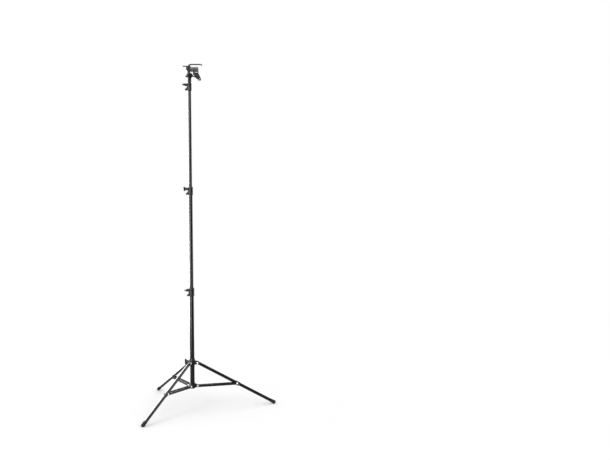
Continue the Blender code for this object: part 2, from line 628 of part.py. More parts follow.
def build():
    clear_scene()

    satin_black = make_material("satin_black_tube", (0.02, 0.02, 0.022), 0.38, 0.0)
    cast_black = make_material("cast_black", (0.018, 0.018, 0.018), 0.55, 0.0)
    knob_black = make_material("knob_plastic", (0.012, 0.012, 0.012), 0.5, 0.0)
    zinc = make_material("zinc_steel", (0.62, 0.62, 0.6), 0.32, 1.0)
    cast_grey = make_material("cast_aluminium", (0.2, 0.2, 0.2), 0.5, 1.0)
    rubber = make_material("foot_rubber", (0.015, 0.015, 0.015), 0.85, 0.0)

    column = add_empty("column", location=(COLUMN_X, 0, 0))
    knob = knob_mesh()

    # Fixed column
    base_top = COLLAR_BOTTOMS[0] + COLLAR_STEP
    add_part("base_tube", ring(TUBE_RADII[0] - TUBE_WALL, TUBE_RADII[0], COLUMN_BOTTOM + 1.5 * MM, base_top), satin_black, column)
    bore = TUBE_RADII[0] - TUBE_WALL
    plug = lathe([
        (0, COLUMN_BOTTOM - 2.5 * MM),
        (TUBE_RADII[0] - 1 * MM, COLUMN_BOTTOM - 2.5 * MM),
        (TUBE_RADII[0], COLUMN_BOTTOM - 1 * MM),
        (TUBE_RADII[0], COLUMN_BOTTOM + 1.2 * MM),
        (bore - GAP, COLUMN_BOTTOM + 1.2 * MM),
        (bore - GAP, COLUMN_BOTTOM + 13 * MM),
        (0, COLUMN_BOTTOM + 13 * MM),
    ])
    add_part("column_plug", plug, knob_black, column)
    add_part("base_hub", hub_mesh(), cast_black, column)

    # Risers, each in the one below
    risers = [column, column, column, column]
    for i in range(1, 4):
        top = COLLAR_BOTTOMS[i] + COLLAR_STEP if i < 3 else RISER_3_TOP
        bottom = RISER_BOTTOMS[i - 1]
        add_part(f"riser_{i}_tube", riser_mesh(TUBE_RADII[i], bottom, top), satin_black, column)
        bush = bush_mesh(TUBE_RADII[i - 1] - TUBE_WALL, TUBE_RADII[i] - TUBE_WALL)
        add_part(f"riser_{i}_bush", bush, knob_black, column, (0, 0, bottom))
    add_part("spigot", spigot_mesh(), zinc, column)

    # Collars and their knobs
    for i in range(3):
        outer, inner = TUBE_RADII[i], TUBE_RADII[i + 1]
        add_part(f"collar_{i + 1}", collar_mesh(outer, inner), cast_black, column, (0, 0, COLLAR_BOTTOMS[i]))
        add_knob(
            f"collar_{i + 1}_knob", knob, column, math.pi, COLLAR_BOTTOMS[i] + COLLAR_KNOB_HEIGHT,
            KNOB_BOSS_END + GAP, inner + GAP, COLLAR_BLADE_TURNS[i] + math.radians(90), knob_black, zinc,
        )

    # Leg collar
    add_part("leg_collar", leg_collar_mesh(), cast_black, column, (0, 0, LEG_PIVOT_Z))
    add_knob(
        "leg_collar_knob", knob, column, math.pi, LEG_PIVOT_Z + LEG_KNOB_ABOVE,
        LEG_KNOB_BOSS_END + GAP, TUBE_RADII[0] + GAP, LEG_BLADE_TURN + math.radians(90), knob_black, zinc,
    )

    # Legs and braces
    joint_x = LEG_PIVOT_RADIUS + BRACE_JOINT_ALONG_LEG * math.cos(LEG_ANGLE) - HUB_PIVOT_RADIUS
    joint_z = LEG_PIVOT_Z - BRACE_JOINT_ALONG_LEG * math.sin(LEG_ANGLE) - HUB_PIVOT_Z
    brace_length = math.hypot(joint_x, joint_z)
    brace_tilt = math.atan2(joint_z, joint_x)
    leg_pin = rivet_mesh(LUG_OUTER + GAP)
    brace_pin = rivet_mesh(STRIP_INNER + STRIP_THICKNESS + GAP)
    leg_tube = leg_tube_mesh()
    tongue = tongue_mesh()
    saddle = saddle_mesh()
    foot = foot_mesh()
    strips = {"left": strip_mesh(brace_length, 1), "right": strip_mesh(brace_length, -1)}
    for letter, azimuth in LEG_AZIMUTHS.items():
        plane = add_empty(f"leg_{letter}_plane", column, rotation=(0, 0, azimuth))
        leg = add_empty(f"leg_{letter}_axis", plane, (LEG_PIVOT_RADIUS, 0, LEG_PIVOT_Z), (0, LEG_ANGLE, 0))
        hub_end = (HUB_PIVOT_RADIUS, 0, HUB_PIVOT_Z)
        brace = add_empty(f"brace_{letter}_axis", plane, hub_end, (0, -brace_tilt, 0))
        add_part(f"leg_pin_{letter}", leg_pin, zinc, plane, (LEG_PIVOT_RADIUS, 0, LEG_PIVOT_Z))
        add_part(f"hub_pin_{letter}", brace_pin, zinc, plane, hub_end)
        add_part(f"leg_{letter}_tube", leg_tube, satin_black, leg)
        add_part(f"leg_{letter}_fitting", tongue, cast_black, leg)
        add_part(f"leg_{letter}_saddle", saddle, cast_black, leg)
        add_part(f"leg_{letter}_foot", foot, rubber, leg)
        add_part(f"brace_{letter}_left", strips["left"], satin_black, brace)
        add_part(f"brace_{letter}_right", strips["right"], satin_black, brace)
        add_part(f"brace_{letter}_pin", brace_pin, zinc, brace, (brace_length, 0, 0))

    # Head
    add_part("socket", socket_mesh(), cast_black, column)
    add_knob(
        "socket_knob", knob, column, SOCKET_KNOB_AZIMUTH, SOCKET_KNOB_Z, SOCKET_BOSS_END + GAP,
        TUBE_RADII[3] + GAP, SOCKET_BLADE_TURN, knob_black, zinc,
    )
    add_part("cradle", cradle_mesh(), cast_grey, column)
    add_part("clamp_jaw", jaw_mesh(), cast_black, column)
    add_part("hook", hook_mesh(), cast_black, column)
    add_part("cam_lever", lever_mesh(), cast_black, column)
    screw_place = (CLAMP_STUD_X, 0, 0)
    add_part("clamp_screw", rod(STUD_RADIUS, CLAMP_STUD_BOTTOM, CLAMP_STUD_TOP), zinc, column, screw_place)
    hexagon = rod(SCREW_HEAD_RADIUS, CLAMP_STUD_BOTTOM, CLAMP_STUD_BOTTOM + SCREW_HEAD_HEIGHT, 6)
    head_hole = rod(STUD_RADIUS + HOLE_PLAY, CLAMP_STUD_BOTTOM - 1 * MM, CLAMP_STUD_BOTTOM + 2 * SCREW_HEAD_HEIGHT)
    add_part("clamp_screw_head", combine(hexagon, cut=[head_hole]), zinc, column, screw_place)
    clip_top = TROUGH_BOTTOM - 5.5 * MM - GAP
    clip = ring(STUD_RADIUS + HOLE_PLAY, SCREW_CLIP_RADIUS, clip_top - 0.9 * MM, clip_top, SMALL_ROUND)
    add_part("clamp_screw_clip", clip, zinc, column, screw_place)


build()
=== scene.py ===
"""The folding stand as it looks: finer pieces over the CAD frame, materials, light and camera."""

import json
import math

import bmesh
import bpy
from mathutils import Matrix, Vector


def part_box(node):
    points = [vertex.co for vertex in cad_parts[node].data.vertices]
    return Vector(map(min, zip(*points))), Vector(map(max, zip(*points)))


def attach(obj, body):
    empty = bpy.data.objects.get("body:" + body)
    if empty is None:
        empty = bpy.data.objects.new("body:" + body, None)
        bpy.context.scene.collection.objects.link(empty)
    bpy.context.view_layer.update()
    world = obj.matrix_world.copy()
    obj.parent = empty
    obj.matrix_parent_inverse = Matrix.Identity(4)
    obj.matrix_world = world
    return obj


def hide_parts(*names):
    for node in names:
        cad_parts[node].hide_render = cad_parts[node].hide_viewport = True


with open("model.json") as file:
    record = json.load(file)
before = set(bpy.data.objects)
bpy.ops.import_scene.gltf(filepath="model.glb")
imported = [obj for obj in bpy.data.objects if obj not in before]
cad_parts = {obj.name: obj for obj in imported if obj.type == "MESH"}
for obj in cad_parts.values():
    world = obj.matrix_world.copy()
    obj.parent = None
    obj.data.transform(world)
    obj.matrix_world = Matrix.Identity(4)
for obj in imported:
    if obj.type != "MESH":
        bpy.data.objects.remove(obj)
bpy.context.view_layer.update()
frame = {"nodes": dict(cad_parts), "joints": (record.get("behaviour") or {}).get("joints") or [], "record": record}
joint_of = {joint["child"]: joint for joint in frame["joints"]}

MM = 0.001
AXIS_X = joint_of["head"]["pos_m"][0]
COLUMN = Matrix.Translation((AXIS_X, 0, 0))
LEG_ANGLE = math.radians(28.5)
LEG_AZIMUTHS = {"a": math.radians(-120), "b": math.radians(120), "c": 0.0}
LEG_PIVOT = (33 * MM, 269 * MM)
HUB_PIVOT = (34 * MM, 124 * MM)
BRACE_JOINT = 283.5 * MM
LEG_RADIUS = 9.5 * MM
LEG_LENGTH = 551 * MM
FOOT_LENGTH = 34 * MM
TUBE_RADII = (14 * MM, 12 * MM, 10 * MM, 8 * MM)
TUBE_WALL = 1.4 * MM
HOLE_RADIUS = 3.3 * MM
BOSS_RADIUS = 8.5 * MM
COLLAR_HEIGHT = 53 * MM
COLLAR_KNOB_HEIGHT = 38 * MM
SOCKET_KNOB_AZIMUTH = math.radians(255)
SOCKET_KNOB_HEIGHT = 2063 * MM
JAW_PIVOT = (27 * MM, 2066 * MM)
STUD_X = 50 * MM
HOOK_PIVOT = (-1 * MM, 2132 * MM)
LEVER_PIVOT = (-14 * MM, 2122.5 * MM)
LEVER_TIP = (-42 * MM, 2127 * MM)
TROUGH_CENTRE = 2112.5 * MM

# Azimuth from the front, half width (both in degrees) and radiance of each reflected panel
REFLECTED_PANELS = ((-38, 20, 24.0), (108, 16, 9.0), (208, 20, 18.0))
DARK_ROOM = 0.15

FLOOR_RADIUS = 3.4
FLOOR_CORNERS = 180
# The floor turns from pale to white between these distances from the origin
FLOOR_FADE = (0.8, 3.2)

# The photograph's viewpoint: its place is from the column's foot, before the yaw
CAMERA_PLACE = (0.526, -4.434, 1.135)
CAMERA_YAW = math.radians(-3.7)
CAMERA_ROLL = math.radians(0.6)
CAMERA_LENS = 41.76
CAMERA_SHIFT = (0.0495, -0.0105)

ALONG_Y = Matrix.Rotation(math.radians(-90), 4, "X")
ALONG_X = Matrix.Rotation(math.radians(90), 4, "Y")


# Mesh building

def mesh_from(bm):
    bmesh.ops.recalc_face_normals(bm, faces=bm.faces)
    mesh = bpy.data.meshes.new("shape")
    bm.to_mesh(mesh)
    bm.free()
    return mesh


def lathe(profile, segments=64):
    """Turns (radius, height) points round Z; a profile with both ends at radius 0 is solid."""
    bm = bmesh.new()
    rings = []
    for radius, height in profile:
        count = segments if radius > 0 else 1
        angles = [2 * math.pi * i / segments for i in range(count)]
        rings.append([
            bm.verts.new((radius * math.cos(a), radius * math.sin(a), height)) for a in angles
        ])
    pairs = list(zip(rings, rings[1:]))
    if profile[0][0] > 0:
        pairs.append((rings[-1], rings[0]))
    for lower, upper in pairs:
        for i in range(segments):
            j = (i + 1) % segments
            corners = [
                lower[i % len(lower)],
                lower[j % len(lower)],
                upper[j % len(upper)],
                upper[i % len(upper)],
            ]
            bm.faces.new(list(dict.fromkeys(corners)))
    return mesh_from(bm)


def rod(radius, start, end, segments=48):
    return lathe([(0, start), (radius, start), (radius, end), (0, end)], segments)


def rounded_tube(inner, outer, start, end, lip):
    """A tube with softened lips at both ends."""
    return lathe([
        (inner, start + lip),
        (inner + lip, start),
        (outer - lip, start),
        (outer, start + lip),
        (outer, end - lip),
        (outer - lip, end),
        (inner + lip, end),
        (inner, end - lip),
    ])


def plate(outline, low, high):
    """Extrudes an outline of (x, z) points along Y, from low to high."""
    bm = bmesh.new()
    face = bm.faces.new([bm.verts.new((x, low, z)) for x, z in outline])
    grown = bmesh.ops.extrude_face_region(bm, geom=[face])
    corners = [v for v in grown["geom"] if isinstance(v, bmesh.types.BMVert)]
    bmesh.ops.translate(bm, vec=(0, high - low, 0), verts=corners)
    return mesh_from(bm)


def box(x0, x1, y0, y1, z0, z1):
    return plate([(x0, z0), (x1, z0), (x1, z1), (x0, z1)], y0, y1)


def arc(centre, radius, start, end, steps):
    """Points of an arc in the XZ plane, angles in degrees from +X towards +Z."""
    angles = [math.radians(start + (end - start) * i / steps) for i in range(steps + 1)]
    return [(centre[0] + radius * math.cos(a), centre[1] + radius * math.sin(a)) for a in angles]


def smooth_path(points, steps=6):
    """A Catmull-Rom curve through points of the XZ plane."""
    curve = []
    padded = [points[0], *points, points[-1]]
    for before, start, end, after in zip(padded, padded[1:], padded[2:], padded[3:]):
        for i in range(steps):
            t = i / steps
            weights = (
                -0.5 * t + t * t - 0.5 * t ** 3,
                1 - 2.5 * t * t + 1.5 * t ** 3,
                0.5 * t + 2 * t * t - 1.5 * t ** 3,
                -0.5 * t * t + 0.5 * t ** 3,
            )
            curve.append(tuple(
                sum(w * p[k] for w, p in zip(weights, (before, start, end, after))) for k in (0, 1)
            ))
    curve.append(points[-1])
    return curve


def sweep(path, radii, segments=32):
    """A round bar along points of the XZ plane, with a radius for each point."""
    bm = bmesh.new()
    rings = []
    for i, point in enumerate(path):
        along = (Vector(path[min(i + 1, len(path) - 1)]) - Vector(path[max(i - 1, 0)])).normalized()
        ring = []
        for k in range(segments):
            across = radii[i] * math.cos(2 * math.pi * k / segments)
            depth = radii[i] * math.sin(2 * math.pi * k / segments)
            corner = (point[0] - across * along.y, depth, point[1] + across * along.x)
            ring.append(bm.verts.new(corner))
        rings.append(ring)
    for first, second in zip(rings, rings[1:]):
        for k in range(segments):
            m = (k + 1) % segments
            bm.faces.new((first[k], first[m], second[m], second[k]))
    bm.faces.new(rings[0])
    bm.faces.new(rings[-1])
    return mesh_from(bm)


def moved(mesh, matrix):
    copy = mesh.copy()
    copy.transform(matrix)
    return copy


def along_y(mesh, x=0.0, z=0.0):
    return moved(mesh, Matrix.Translation((x, 0, z)) @ ALONG_Y)


def along_x(mesh):
    return moved(mesh, ALONG_X)


def outward(mesh, azimuth, z):
    return moved(mesh, Matrix.Translation((0, 0, z)) @ Matrix.Rotation(azimuth, 4, "Z") @ ALONG_X)


def turned(mesh, azimuth):
    return moved(mesh, Matrix.Rotation(azimuth, 4, "Z"))


def cross_hole(radius, x=0.0, z=0.0):
    """A cutter along Y that is longer than any piece is wide."""
    return along_y(rod(radius, -20 * MM, 20 * MM), x, z)


def evaluated(helpers):
    """The mesh of the first helper with its modifiers applied; the helpers are then removed."""
    for helper in helpers:
        bpy.context.scene.collection.objects.link(helper)
    graph = bpy.context.evaluated_depsgraph_get()
    result = bpy.data.meshes.new_from_object(helpers[0].evaluated_get(graph))
    for helper in helpers:
        bpy.data.objects.remove(helper, do_unlink=True)
    return result


def combine(base, joined=(), cut=()):
    """One mesh: the base with some meshes joined to it and others cut from it."""
    helpers = [bpy.data.objects.new("helper", base)]
    steps = [("UNION", mesh) for mesh in joined] + [("DIFFERENCE", mesh) for mesh in cut]
    for operation, mesh in steps:
        helper = bpy.data.objects.new("helper", mesh)
        modifier = helpers[0].modifiers.new("combine", "BOOLEAN")
        modifier.operation = operation
        modifier.object = helper
        helpers.append(helper)
    return evaluated(helpers)


def cast(mesh, voxel, rounds, keep):
    """The mesh as a casting, its corners filleted by a remesh that is then smoothed and thinned.

    The voxel is in millimetres, rounds are of smoothing, and keep is the share of faces left.
    """
    helper = bpy.data.objects.new("helper", mesh)
    remesh = helper.modifiers.new("remesh", "REMESH")
    remesh.mode = "VOXEL"
    remesh.voxel_size = voxel * MM
    smooth = helper.modifiers.new("smooth", "SMOOTH")
    smooth.factor = 0.5
    smooth.iterations = rounds
    thin = helper.modifiers.new("thin", "DECIMATE")
    thin.ratio = keep
    return evaluated([helper])


def bevelled(mesh, width):
    helper = bpy.data.objects.new("helper", mesh)
    bevel = helper.modifiers.new("bevel", "BEVEL")
    bevel.width = width
    bevel.segments = 2
    bevel.limit_method = "ANGLE"
    bevel.angle_limit = math.radians(40)
    return evaluated([helper])


# Materials

class Surface:
    """A material's node tree with the few steps that each finish is made of."""

    def __init__(self, name, roughness, metallic):
        self.material = bpy.data.materials.new(name)
        self.material.use_nodes = True
        self.tree = self.material.node_tree
        self.shader = self.tree.nodes["Principled BSDF"]
        self.shader.inputs["Roughness"].default_value = roughness
        self.shader.inputs["Metallic"].default_value = metallic
        self.coords = self.tree.nodes.new("ShaderNodeTexCoord")

    def link(self, source, target):
        self.tree.links.new(source, target)

    def noise(self, scale, stretch=(1, 1, 1), detail=4.0, rough=0.55):
        """Noise in the piece's own coordinates: scale is features per metre before the stretch."""
        mapping = self.tree.nodes.new("ShaderNodeMapping")
        mapping.inputs["Scale"].default_value = stretch
        self.link(self.coords.outputs["Object"], mapping.inputs["Vector"])
        noise = self.tree.nodes.new("ShaderNodeTexNoise")
        noise.inputs["Scale"].default_value = scale
        noise.inputs["Detail"].default_value = detail
        noise.inputs["Roughness"].default_value = rough
        self.link(mapping.outputs["Vector"], noise.inputs["Vector"])
        return noise.outputs["Fac"]

    def ramp(self, value, low, high, start, end):
        node = self.tree.nodes.new("ShaderNodeMapRange")
        node.inputs["From Min"].default_value = low
        node.inputs["From Max"].default_value = high
        node.inputs["To Min"].default_value = start
        node.inputs["To Max"].default_value = end
        self.link(value, node.inputs["Value"])
        return node.outputs["Result"]

    def edges(self, low, high):
        """1 on convex edges and 0 on flat areas."""
        geometry = self.tree.nodes.new("ShaderNodeNewGeometry")
        return self.ramp(geometry.outputs["Pointiness"], low, high, 0.0, 1.0)

    def product(self, first, second):
        node = self.tree.nodes.new("ShaderNodeMath")
        node.operation = "MULTIPLY"
        node.use_clamp = True
        self.link(first, node.inputs[0])
        self.link(second, node.inputs[1])
        return node.outputs["Value"]

    def mixed(self, value, first, second):
        """A colour between two, each of them a tuple or the output of another mix."""
        node = self.tree.nodes.new("ShaderNodeMix")
        node.data_type = "RGBA"
        self.link(value, node.inputs["Factor"])
        for name, colour in ((6, first), (7, second)):
            if isinstance(colour, tuple):
                node.inputs[name].default_value = (*colour, 1)
            else:
                self.link(colour, node.inputs[name])
        return node.outputs[2]

    def bump(self, height, strength, distance):
        node = self.tree.nodes.new("ShaderNodeBump")
        node.inputs["Strength"].default_value = strength
        node.inputs["Distance"].default_value = distance
        self.link(height, node.inputs["Height"])
        return node.outputs["Normal"]

    def use(self, name, value):
        self.link(value, self.shader.inputs[name])


def make_tube_paint():
    """Satin black tube: faint draw lines, rubbed patches and fine scratches along it."""
    s = Surface("satin_black", 0.3, 0.0)
    patches = s.noise(14, (1, 1, 0.35), 5, 0.6)
    lines = s.noise(900, (1, 1, 0.012), 3, 0.5)
    scratches = s.ramp(s.noise(420, (1, 1, 0.03), 6, 0.75), 0.66, 0.74, 0.0, 1.0)
    rubbed = s.ramp(patches, 0.5, 0.72, 0.0, 1.0)
    worn = s.product(scratches, rubbed)
    tone = s.ramp(patches, 0.3, 0.7, 0.0, 1.0)
    colour = s.mixed(tone, (0.006, 0.006, 0.0065), (0.011, 0.011, 0.0115))
    s.use("Base Color", s.mixed(worn, colour, (0.06, 0.06, 0.06)))
    s.use("Roughness", s.ramp(s.product(patches, lines), 0.12, 0.4, 0.16, 0.28))
    s.use("Normal", s.bump(lines, 0.06, 0.00006))
    s.shader.inputs["Specular IOR Level"].default_value = 0.13
    return s.material


def make_powder_coat():
    """Black powder coat on a casting: orange peel, greyer on rubbed corners."""
    s = Surface("cast_black", 0.5, 0.0)
    peel = s.noise(1500, detail=2)
    broad = s.noise(60, detail=4)
    chips = s.ramp(s.noise(260, detail=6, rough=0.7), 0.42, 0.62, 0.0, 1.0)
    worn = s.product(s.edges(0.53, 0.62), chips)
    tone = s.ramp(broad, 0.35, 0.65, 0.0, 1.0)
    colour = s.mixed(tone, (0.007, 0.007, 0.007), (0.014, 0.014, 0.014))
    s.use("Base Color", s.mixed(worn, colour, (0.08, 0.08, 0.08)))
    s.use("Roughness", s.ramp(broad, 0.3, 0.7, 0.34, 0.5))
    s.use("Normal", s.bump(peel, 0.35, 0.0002))
    s.shader.inputs["Specular IOR Level"].default_value = 0.12
    return s.material


def make_knob_plastic():
    """Black moulded plastic with a fine spark-eroded texture, polished by fingers on its edges."""
    s = Surface("knob_plastic", 0.45, 0.0)
    grain = s.noise(2600, detail=3)
    broad = s.noise(80, detail=3)
    s.use("Base Color", s.mixed(s.edges(0.5, 0.6), (0.006, 0.006, 0.006), (0.02, 0.02, 0.021)))
    polish = s.ramp(s.edges(0.5, 0.6), 0, 1, 1.0, 0.7)
    s.use("Roughness", s.product(s.ramp(broad, 0.3, 0.7, 0.42, 0.58), polish))
    s.use("Normal", s.bump(grain, 0.25, 0.0001))
    s.shader.inputs["Specular IOR Level"].default_value = 0.14
    return s.material


def make_zinc():
    """Bright zinc plating: cloudy, a little stained, with fine turning lines."""
    s = Surface("zinc_steel", 0.3, 1.0)
    cloud = s.noise(220, detail=5, rough=0.65)
    fine = s.noise(2200, detail=3)
    tone = s.ramp(cloud, 0.35, 0.65, 0.0, 1.0)
    s.use("Base Color", s.mixed(tone, (0.46, 0.46, 0.44), (0.72, 0.72, 0.7)))
    s.use("Roughness", s.ramp(cloud, 0.3, 0.7, 0.22, 0.42))
    s.use("Normal", s.bump(fine, 0.2, 0.00006))
    return s.material


def make_cast_grey():
    """Sand-blasted grey aluminium casting, darker in its hollows, with a painted highlight that makes its corners
    brighter.
    """
    s = Surface("cast_aluminium", 0.5, 0.1)
    broad = s.noise(90, detail=5, rough=0.6)
    grain = s.noise(1700, detail=3)
    base = s.mixed(s.ramp(broad, 0.3, 0.7, 0.0, 1.0), (0.028, 0.028, 0.027), (0.075, 0.074, 0.07))
    # Painted highlight: the convex corners are mixed towards a pale grey.
    s.use("Base Color", s.mixed(s.edges(0.52, 0.62), base, (0.3, 0.295, 0.285)))
    s.use("Roughness", s.ramp(broad, 0.3, 0.7, 0.42, 0.6))
    s.use("Normal", s.bump(grain, 0.4, 0.00025))
    s.shader.inputs["Specular IOR Level"].default_value = 0.3
    return s.material


def make_rubber():
    """Black rubber: matt, a little dusty in patches, with fine pores."""
    s = Surface("foot_rubber", 0.85, 0.0)
    dust = s.ramp(s.noise(120, detail=6, rough=0.7), 0.45, 0.72, 0.0, 1.0)
    pores = s.noise(1900, detail=3)
    s.use("Base Color", s.mixed(dust, (0.014, 0.014, 0.014), (0.05, 0.048, 0.046)))
    s.use("Roughness", s.ramp(dust, 0, 1, 0.72, 0.95))
    s.use("Normal", s.bump(pores, 0.4, 0.0002))
    s.shader.inputs["Specular IOR Level"].default_value = 0.1
    return s.material


SLOT_MATERIALS = {
    "satin_black_tube": make_tube_paint(),
    "cast_black": make_powder_coat(),
    "knob_plastic": make_knob_plastic(),
    "zinc_steel": make_zinc(),
    "cast_aluminium": make_cast_grey(),
    "foot_rubber": make_rubber(),
}


def add_piece(name, mesh, slot, body, nodes, place=COLUMN):
    """A shown piece: it wears the slot's material, rides on the body and stands for the nodes."""
    piece = bpy.data.objects.new(name, mesh)
    bpy.context.scene.collection.objects.link(piece)
    piece.matrix_world = place
    if not mesh.materials:
        mesh.materials.append(SLOT_MATERIALS[slot])
        mesh.shade_smooth()
        mesh.set_sharp_from_angle(angle=math.radians(35))
    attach(piece, body)
    if nodes:
        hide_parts(*nodes)


# Column and risers

def node_span(node):
    low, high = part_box(node)
    return low.z, high.z


def add_tubes():
    bodies = ("column", "riser_1", "riser_2", "riser_3")
    nodes = ("base_tube", "riser_1_tube", "riser_2_tube", "riser_3_tube")
    for radius, body, node in zip(TUBE_RADII, bodies, nodes):
        start, end = node_span(node)
        tube = rounded_tube(radius - TUBE_WALL, radius, start, end, 0.35 * MM)
        add_piece(f"{node}_fine", tube, "satin_black_tube", body, [node])


def collar_shape(outer, inner, knob_height, height):
    """A cast collar from its lower edge: bottom lip, grip, conical shoulder, knob boss and claw."""
    wall = 4 * MM
    guide = inner + 0.35 * MM
    grip = outer + 0.3 * MM
    step = 28.3 * MM
    body = lathe([
        (grip, 0.4 * MM),
        (grip + 0.4 * MM, 0),
        (outer + wall - 1.2 * MM, 0),
        (outer + wall - 0.2 * MM, 1 * MM),
        (outer + wall, 2.4 * MM),
        (outer + wall, 5 * MM),
        (outer + wall - 0.9 * MM, 5.8 * MM),
        (outer + wall - 0.9 * MM, height - 16.5 * MM),
        (outer + wall, height - 15.6 * MM),
        (outer + wall, height - 12.6 * MM),
        (outer + wall - 0.5 * MM, height - 11.6 * MM),
        (inner + wall + 0.4 * MM, height - 4.6 * MM),
        (inner + wall - 0.6 * MM, height - 3.4 * MM),
        (inner + 2.6 * MM, height - 0.5 * MM),
        (inner + 2 * MM, height),
        (guide + 0.3 * MM, height),
        (guide, height - 0.3 * MM),
        (guide, step),
        (grip, step),
    ], 96)
    boss = outward(lathe([
        (0, inner + 2 * MM),
        (BOSS_RADIUS, inner + 2 * MM),
        (BOSS_RADIUS, 19.3 * MM),
        (7.6 * MM, 20.5 * MM),
        (0, 20.5 * MM),
    ]), math.pi, knob_height)
    claw = plate([
        (-outer - 1.5 * MM, 3 * MM),
        (-19 * MM, 3 * MM),
        *smooth_path([
            (-23 * MM, -0.3 * MM),
            (-27 * MM, 0.2 * MM),
            (-28.9 * MM, 4.5 * MM),
            (-27 * MM, 11.5 * MM),
            (-22.5 * MM, 13.5 * MM),
            (-18.5 * MM, 19 * MM),
        ]),
        (-outer - 1.5 * MM, 24 * MM),
    ], -7 * MM, 7 * MM)
    rib = box(-outer - wall - 1.4 * MM, -outer - 1 * MM, -2 * MM, 2 * MM, 22 * MM, 32 * MM)
    stud_hole = outward(rod(HOLE_RADIUS, 2 * MM, 26 * MM), math.pi, knob_height)
    seam = box(
        outer + 1 * MM, outer + wall + 2 * MM,
        -0.6 * MM, 0.6 * MM,
        height - 30 * MM, height + 5 * MM,
    )
    return cast(combine(body, joined=[boss, claw, rib], cut=[stud_hole, seam]), 0.5, 4, 0.35)


def add_collars():
    bodies = ("column", "riser_1", "riser_2")
    for i, body in enumerate(bodies):
        node = f"collar_{i + 1}"
        start = node_span(node)[1] - COLLAR_HEIGHT
        mesh = collar_shape(TUBE_RADII[i], TUBE_RADII[i + 1], COLLAR_KNOB_HEIGHT, COLLAR_HEIGHT)
        place = COLUMN @ Matrix.Translation((0, 0, start))
        add_piece(f"{node}_fine", mesh, "cast_black", body, [node], place)


def knob_shape():
    """A T-knob along +Z: a fluted hub and a blade that widens to a bar, hollowed for fingers."""
    hub = lathe([
        (0, 9 * MM),
        (3.3 * MM, 9 * MM),
        (3.3 * MM, 0),
        (8 * MM, 0),
        (9.4 * MM, 0.8 * MM),
        (9.5 * MM, 2 * MM),
        (8.9 * MM, 9 * MM),
        (7.6 * MM, 12.4 * MM),
        (5.5 * MM, 13.6 * MM),
        (0, 13.8 * MM),
    ])
    flutes = []
    for i in range(12):
        angle = 2 * math.pi * (i + 0.5) / 12
        flute = rod(1.1 * MM, -1 * MM, 8.5 * MM, 16)
        at_rim = (10.1 * MM * math.cos(angle), 10.1 * MM * math.sin(angle), 0)
        flutes.append(moved(flute, Matrix.Translation(at_rim)))
    half = smooth_path([
        (6.8 * MM, 2.5 * MM),
        (9 * MM, 8.6 * MM),
        (14 * MM, 12.4 * MM),
        (16.6 * MM, 15.4 * MM),
        (17 * MM, 18.2 * MM),
        (16.4 * MM, 21.4 * MM),
        (14 * MM, 22.9 * MM),
        (7 * MM, 22.4 * MM),
        (0, 22.1 * MM),
    ])
    outline = half + [(-x, z) for x, z in reversed(half[:-1])]
    blade = plate(outline, -3.8 * MM, 3.8 * MM)
    hollows = []
    for x in (-1, 1):
        for y in (-1, 1):
            dish = rod(15 * MM, -4.6 * MM, 4.6 * MM)
            lean = Matrix.Rotation(math.radians(20 * x), 4, "Y")
            beside = Matrix.Translation((x * 11 * MM, y * 17.6 * MM, 17 * MM))
            hollows.append(moved(dish, beside @ lean))
    return cast(combine(hub, joined=[blade], cut=[*flutes, *hollows]), 0.38, 5, 0.45)


def add_knobs():
    knob = knob_shape()
    blade_turns = {
        "collar_1_knob": ("knob_1", 90),
        "collar_2_knob": ("knob_2", 125),
        "collar_3_knob": ("knob_3", 90),
        "leg_collar_knob": ("knob_leg", 180),
        "socket_knob": ("knob_head", -40),
    }
    for node, (body, turn) in blade_turns.items():
        joint = joint_of[body]
        azimuth = math.atan2(joint["axis"][1], joint["axis"][0])
        face = {"leg_collar_knob": 24.3 * MM, "socket_knob": 22.3 * MM}.get(node, 20.8 * MM)
        place = (
            COLUMN
            @ Matrix.Translation((0, 0, joint["pos_m"][2]))
            @ Matrix.Rotation(azimuth, 4, "Z")
            @ Matrix.Translation((face, 0, 0))
            @ ALONG_X
            @ Matrix.Rotation(math.radians(turn), 4, "Z")
        )
        add_piece(f"{node}_fine", knob, "knob_plastic", body, [node], place)


# Tripod

def leg_collar_shape():
    bore = 14.35 * MM
    sleeve = lathe([
        (bore, -15.6 * MM),
        (bore + 0.4 * MM, -16 * MM),
        (17.3 * MM, -16 * MM),
        (18.4 * MM, -14.8 * MM),
        (18.5 * MM, -13 * MM),
        (18.5 * MM, 17.4 * MM),
        (18.1 * MM, 18.8 * MM),
        (17 * MM, 24.8 * MM),
        (16.4 * MM, 26 * MM),
        (bore + 0.4 * MM, 26 * MM),
        (bore, 25.6 * MM),
    ], 96)
    outline = arc((LEG_PIVOT[0], 0), 9.5 * MM, -90, 90, 24)
    outline += [(15.5 * MM, 12.5 * MM), (15.5 * MM, -9.5 * MM)]
    ears = [plate(outline, 6.5 * MM, 11 * MM), plate(outline, -11 * MM, -6.5 * MM)]
    hole = cross_hole(HOLE_RADIUS, LEG_PIVOT[0])
    lugs = [turned(ear, azimuth) for azimuth in LEG_AZIMUTHS.values() for ear in ears]
    holes = [turned(hole, azimuth) for azimuth in LEG_AZIMUTHS.values()]
    boss = outward(rod(BOSS_RADIUS, 16 * MM, 24 * MM), math.pi, 8 * MM)
    stud_hole = outward(rod(HOLE_RADIUS, 5 * MM, 29 * MM), math.pi, 8 * MM)
    clear = rod(bore, -30 * MM, 40 * MM, 96)
    shape = combine(sleeve, joined=[*lugs, boss], cut=[clear, stud_hole, *holes])
    return cast(shape, 0.55, 4, 0.35)


